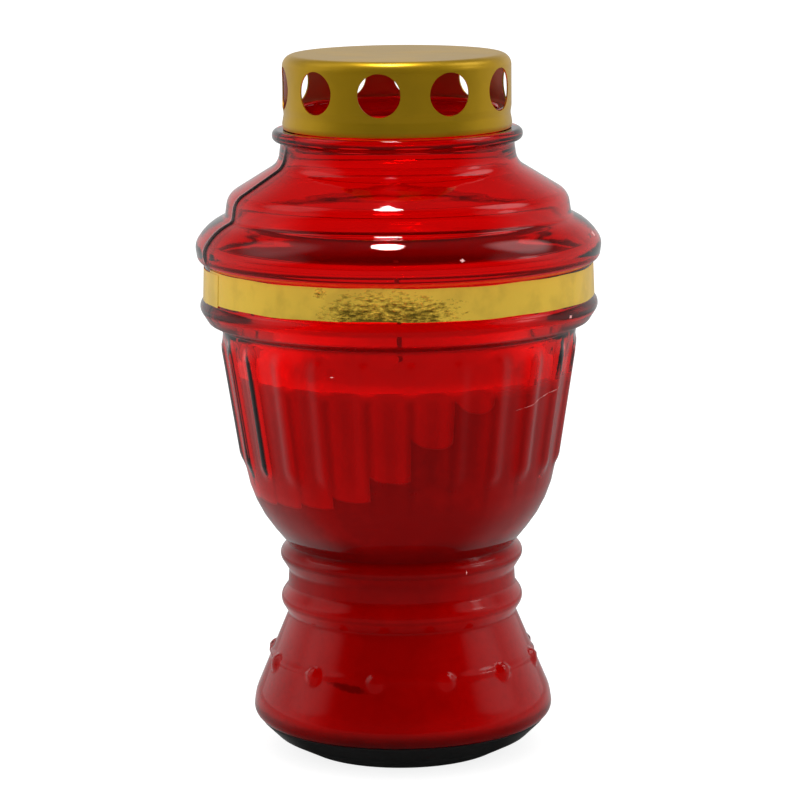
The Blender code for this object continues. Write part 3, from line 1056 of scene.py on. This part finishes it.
class LAMP_OT_lid(bpy.types.Operator):
    """Turn the lid's sheet and pierce its ring of vents"""

    bl_idname = "lamp.lid"
    bl_label = "Vented Lid"

    smooth = 35.0

    def execute(self, context):
        settings = context.scene.lamp_lid
        outside = dense(rounded(LID_OUTSIDE), lambda height: LID_ROWS)
        inside = dense(rounded(self.inner_face(settings.sheet / MM)), lambda height: LID_ROWS)
        inside.reverse()
        piece = turned("lid", outside + inside, settings.segments, self.smooth)
        self.pierce(piece, settings.vent_radius)
        dress(piece, "lid", gold_lacquer(settings), "vent_lid")
        return {"FINISHED"}

    @staticmethod
    def inner_face(sheet):
        """Corners of the lid's inside, one sheet further in and under a flat top."""
        inner = [
            (radius - sheet, height, max(rounding - sheet, 0.2))
            for radius, height, rounding in LID_OUTSIDE[LID_SHOULDER:-1]
        ]
        radius, height, rounding = inner[0]
        inner[0] = (radius, height - sheet, rounding)
        radius, height, _ = LID_OUTSIDE[-1]
        return [(0.0, LID_OUTSIDE[0][1] - sheet, 0.0), *inner, (radius - sheet, height, 0.0)]

    def pierce(self, piece, radius):
        """Cuts the vents with a ring of punches."""
        punches = []
        for index in range(VENT_COUNT):
            bearing = math.radians(VENT_BEARING + index * 360.0 / VENT_COUNT)
            reach = PUNCH_REACH * MM
            punches.append(add_primitive(
                "punch",
                bpy.ops.mesh.primitive_cylinder_add,
                (reach * math.sin(bearing), -reach * math.cos(bearing), VENT_HEIGHT * MM),
                vertices=72,
                radius=radius,
                depth=PUNCH_LENGTH * MM,
                rotation=(math.radians(90.0), 0.0, bearing),
            ))
        punch = joined("punches", punches)
        cut = piece.modifiers.new("vents", "BOOLEAN")
        cut.operation = "DIFFERENCE"
        cut.object = punch
        apply_modifier(piece, cut)
        bpy.data.objects.remove(punch, do_unlink=True)
        bpy.ops.object.select_all(action="DESELECT")
        piece.select_set(True)
        bpy.context.view_layer.objects.active = piece
        shade_smooth(self.smooth)


class LAMP_OT_band(bpy.types.Operator):
    """Wind the foil ribbon round the land under the belly"""

    bl_idname = "lamp.band"
    bl_label = "Foil Band"

    def execute(self, context):
        settings = context.scene.lamp_band
        piece = add_grid("band", 588, 10)
        for vertex in piece.data.vertices:
            along = (vertex.co.x + 1.0) / 2.0 * FOIL_WOUND
            vertex.co = self.wind(settings, along, (1.0 - vertex.co.y) / 2.0)
        bpy.ops.object.mode_set(mode="EDIT")
        bpy.ops.mesh.select_all(action="SELECT")
        bpy.ops.mesh.normals_make_consistent(inside=False)
        bpy.ops.object.mode_set(mode="OBJECT")
        if piece.data.polygons[0].normal.dot(piece.data.polygons[0].center) < 0.0:
            piece.data.flip_normals()
        thicken(piece, settings.sheet, 1.0)
        shade_smooth(40.0)
        dress(piece, "lamp", gold_foil(settings), "foil_band")
        return {"FINISHED"}

    @staticmethod
    def wind(settings, along, down):
        """A point of the ribbon, by degrees from its start and share of its width from the top."""
        raised = min(max((along - LAP_START) / (LAP_END - LAP_START), 0.0), 1.0)
        raised = raised * raised * (3.0 - 2.0 * raised)
        ripple = 0.12 * math.sin(math.radians(along * 7.0))
        ripple += 0.08 * math.sin(math.radians(along * 17.0 + 40.0))
        height = settings.top / MM - FOIL_FALL * along / 360.0 - settings.width / MM * down + ripple
        share = (LAND_TOP - height) / (LAND_TOP - LAND_BOTTOM)
        radius = LAND_RADIUS + LAND_FLARE * share + FOIL_GAP + raised * FOIL_LAP
        bearing = math.radians(FOIL_BEARING + along)
        return Vector((radius * math.sin(bearing), -radius * math.cos(bearing), height)) * MM


class LAMP_OT_wax(bpy.types.Operator):
    """Pour the wax up to its level, clinging to the glass below and come away from it above"""

    bl_idname = "lamp.wax"
    bl_label = "Wax"

    def execute(self, context):
        settings = context.scene.lamp_wax
        glass = context.scene.lamp_glass
        piece = turned("wax", self.outline(settings.level / MM), glass.segments)

        def cast(vertex):
            if vertex.co.xy.length < WAX_WALL_RADIUS * MM or vertex.normal.z > 0.7:
                return 0.0
            return rib_share(vertex.co, glass.rib_width / 2.0)

        def loose(vertex):
            if vertex.co.xy.length < WAX_WALL_RADIUS * MM:
                return 0.0
            cling = self.cling_height(bearing_of(vertex.co), settings.tongue_bearing)
            return min(max((vertex.co.z / MM - cling) / LOOSENING, 0.0), 1.0)

        raise_relief(piece, "cast", glass.rib_height * HOLLOW_SHARE, RIB_REACH, cast)
        raise_relief(piece, "loose", -settings.shrink, LOOSE_REACH, loose)
        dress(piece, "lamp", red_wax(settings), "wax_fill")
        return {"FINISHED"}

    @staticmethod
    def outline(level):
        """From the wick across the top, down the wall and back under to the wick, as a ring."""
        wall = rounded([(radius + WAX_BITE, *rest) for radius, *rest in GLASS_INSIDE])
        wall = [point for point in dense(wall, lambda height: WAX_ROWS) if point.y < level]
        edge = wall[0].x
        creep = (
            (1.3, 0.9), (1.9, 0.45), (3.4, 0.0),
            (edge - 3.0, 0.0), (edge - 1.2, 0.3), (edge - 0.2, 0.9),
        )
        top = [Vector((radius, level + rise)) for radius, rise in creep]
        top = dense(top, lambda height: WAX_TOP_ROWS)
        wall = [point for point in wall if point.x > WAX_UNDERSIDE_RADIUS]
        wall = [Vector((point.x, max(point.y, WAX_FLOOR))) for point in wall]
        return top + wall + [Vector(point) for point in WAX_UNDERSIDE] + top[:1]

    @staticmethod
    def cling_height(bearing, middle):
        """How high the wax still clings to the glass, in steps between the ribs."""
        turn = (bearing - RIB_BEARING) / RIB_PITCH
        column = math.floor(turn)
        across = (turn - column) * 2.0 - 1.0
        centre = (column + 0.5) * RIB_PITCH + RIB_BEARING
        climb = math.tanh(CLING_STEEPNESS * math.sin(math.radians(centre - middle)))
        scallop = (1.0 + SCALLOP_CHANGE * climb) * (SCALLOP_ENDS * abs(across) ** 3 - across)
        return CLING_HEIGHT + CLING_SWING * climb + scallop


class LAMP_OT_wick(bpy.types.Operator):
    """Twist the cotton wick and finish the tin disc under it"""

    bl_idname = "lamp.wick"
    bl_label = "Wick"

    def execute(self, context):
        piece = add_primitive(
            "twisted_wick",
            bpy.ops.mesh.primitive_circle_add,
            vertices=24,
            radius=WICK_RADIUS * MM,
            fill_type="NGON",
        )
        for vertex in piece.data.vertices:
            vertex.co *= 1.0 - 0.16 * abs(math.sin(1.5 * math.atan2(vertex.co.y, vertex.co.x)))
        bpy.ops.object.mode_set(mode="EDIT")
        bpy.ops.mesh.select_all(action="SELECT")
        bpy.ops.transform.translate(value=(0.0, 0.0, WICK_FOOT * MM))
        height = WICK_FOOT
        lean = 0.0
        while height < WICK_TIP:
            height += WICK_STEP
            share = max((height - LEAN_START) / LEAN_LENGTH, 0.0)
            before, lean = lean, LEAN * share * share
            extrude(lean - before, WICK_STEP)
            bpy.ops.transform.rotate(
                value=math.radians(WICK_TWIST),
                orient_axis="Z",
                center_override=(lean * MM, 0.0, height * MM),
            )
        close_piece(50.0)
        dress(piece, "lamp", cotton(), "wick")
        coat(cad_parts["wick_sustainer"], tinplate())
        return {"FINISHED"}


class LAMP_OT_stage(bpy.types.Operator):
    """Set the floor, the world, the lamp overhead and the camera"""

    bl_idname = "lamp.stage"
    bl_label = "Stage"

    def execute(self, context):
        settings = context.scene.lamp_stage
        self.make_floor()
        self.make_world(context.scene, settings.room)
        self.make_key(context.scene, settings.key)
        self.make_camera(context.scene, settings)
        context.scene.view_settings.view_transform = "Standard"
        return {"FINISHED"}

    @staticmethod
    def make_floor():
        """A wide white floor that shows white and keeps a soft shadow."""
        floor = add_grid("floor", 8, 8, FLOOR_SIZE, (0.0, 0.0, -FLOOR_GAP * MM))
        material, tree, shader = new_material("white_floor")
        tree.nodes.remove(shader)
        path = outputs(tree, "ShaderNodeLightPath")
        camera, glossy = path["Is Camera Ray"], path["Is Glossy Ray"]
        through = path["Is Transmission Ray"]
        place = object_place(tree)
        away = vector_math("LENGTH", place)
        far = away.ramp(0.12, 0.28, 0.75, 0.5) + away.ramp(0.5, 0.9, 0.0, 0.4)
        level = most(room_sides(place, 0.37, 0.31) * far * glossy, camera * 0.84, through * 0.6)
        tone = most(camera, through, glossy).mix((0.92, 0.92, 0.92), (0.3, 0.3, 0.3))
        tone = glossy.mix(tone, (0.05, 0.05, 0.05))
        shade = outputs(tree, "ShaderNodeBsdfDiffuse", {"Color": tone})["BSDF"]
        glow = outputs(tree, "ShaderNodeEmission", {"Strength": level})["Emission"]
        white = outputs(tree, "ShaderNodeAddShader", {0: shade, 1: glow})["Shader"]
        fill(tree.nodes["Material Output"], {"Surface": white})
        floor.data.materials.append(material)

    @staticmethod
    def make_world(scene, room):
        """A white room that is darker on the front side, where the camera stands."""
        world = bpy.data.worlds.new("room")
        scene.world = world
        world.use_nodes = True
        tree = world.node_tree
        direction = outputs(tree, "ShaderNodeTexCoord")["Generated"]
        _, _, up = split(direction)
        mirrored = room_sides(direction, 0.4, 0.35) * up.ramp(0.1, 0.7, 1.0, 0.12)
        for window, edge, level in WINDOWS:
            facing = vector_math("DOT_PRODUCT", direction, window)
            mirrored = mirrored + facing.ramp(*edge, 0.0, level)
        path = outputs(tree, "ShaderNodeLightPath")
        strength = most(
            path["Is Camera Ray"],
            path["Is Transmission Ray"] * 0.68,
            path["Is Diffuse Ray"] * room,
            mirrored * path["Is Glossy Ray"],
        )
        fill(tree.nodes["Background"], {"Color": (1.0, 1.0, 1.0), "Strength": strength})

    @staticmethod
    def make_key(scene, power):
        """A soft lamp that shines straight down."""
        light = bpy.data.lights.new("key", "AREA")
        light.shape = "ELLIPSE"
        light.size, light.size_y = KEY_SIZE
        light.energy = power
        key = bpy.data.objects.new("key", light)
        scene.collection.objects.link(key)
        key.location = KEY_PLACE

    @staticmethod
    def make_camera(scene, settings):
        """A camera in front of the lamp that looks a little down on it."""
        data = bpy.data.cameras.new("camera")
        data.lens = settings.lens
        data.sensor_width = 36.0
        camera = bpy.data.objects.new("camera", data)
        scene.collection.objects.link(camera)
        middle = Vector((0.0, 0.0, AIM_HEIGHT * MM))
        offset = Vector((0.0, -math.cos(settings.pitch), math.sin(settings.pitch)))
        camera.location = middle + offset * settings.distance
        aim = (-offset).to_track_quat("-Z", "Y").to_matrix()
        camera.rotation_euler = (aim @ Matrix.Rotation(settings.roll, 3, "Z")).to_euler()
        scene.camera = camera


class VIEW3D_PT_lamp(bpy.types.Panel):
    """Sidebar panel that lists the lamp's pieces"""

    bl_label = "Sanctuary Lamp"
    bl_space_type = "VIEW_3D"
    bl_region_type = "UI"
    bl_category = "Lamp"

    def draw(self, context):
        for operator in OPERATORS:
            self.layout.operator(operator.bl_idname)
        for name in SETTINGS:
            group = getattr(context.scene, name)
            column = self.layout.column(heading=name)
            for key in group.__annotations__:
                column.prop(group, key)


OPERATORS = (
    LAMP_OT_glass,
    LAMP_OT_marks,
    LAMP_OT_foot,
    LAMP_OT_lid,
    LAMP_OT_band,
    LAMP_OT_wax,
    LAMP_OT_wick,
    LAMP_OT_stage,
)

SETTINGS = {
    "lamp_glass": GlassSettings,
    "lamp_lid": LidSettings,
    "lamp_band": BandSettings,
    "lamp_wax": WaxSettings,
    "lamp_stage": StageSettings,
}


def register():
    for name, group in SETTINGS.items():
        bpy.utils.register_class(group)
        setattr(bpy.types.Scene, name, bpy.props.PointerProperty(type=group))
    for item in (*OPERATORS, VIEW3D_PT_lamp):
        bpy.utils.register_class(item)


def unregister():
    for item in (VIEW3D_PT_lamp, *reversed(OPERATORS)):
        bpy.utils.unregister_class(item)
    for name, group in SETTINGS.items():
        delattr(bpy.types.Scene, name)
        bpy.utils.unregister_class(group)


def main():
    register()
    bpy.ops.lamp.glass()
    bpy.ops.lamp.marks()
    bpy.ops.lamp.foot()
    bpy.ops.lamp.lid()
    bpy.ops.lamp.band()
    bpy.ops.lamp.wax()
    bpy.ops.lamp.wick()
    bpy.ops.lamp.stage()


if __name__ == "__main__":
    main()
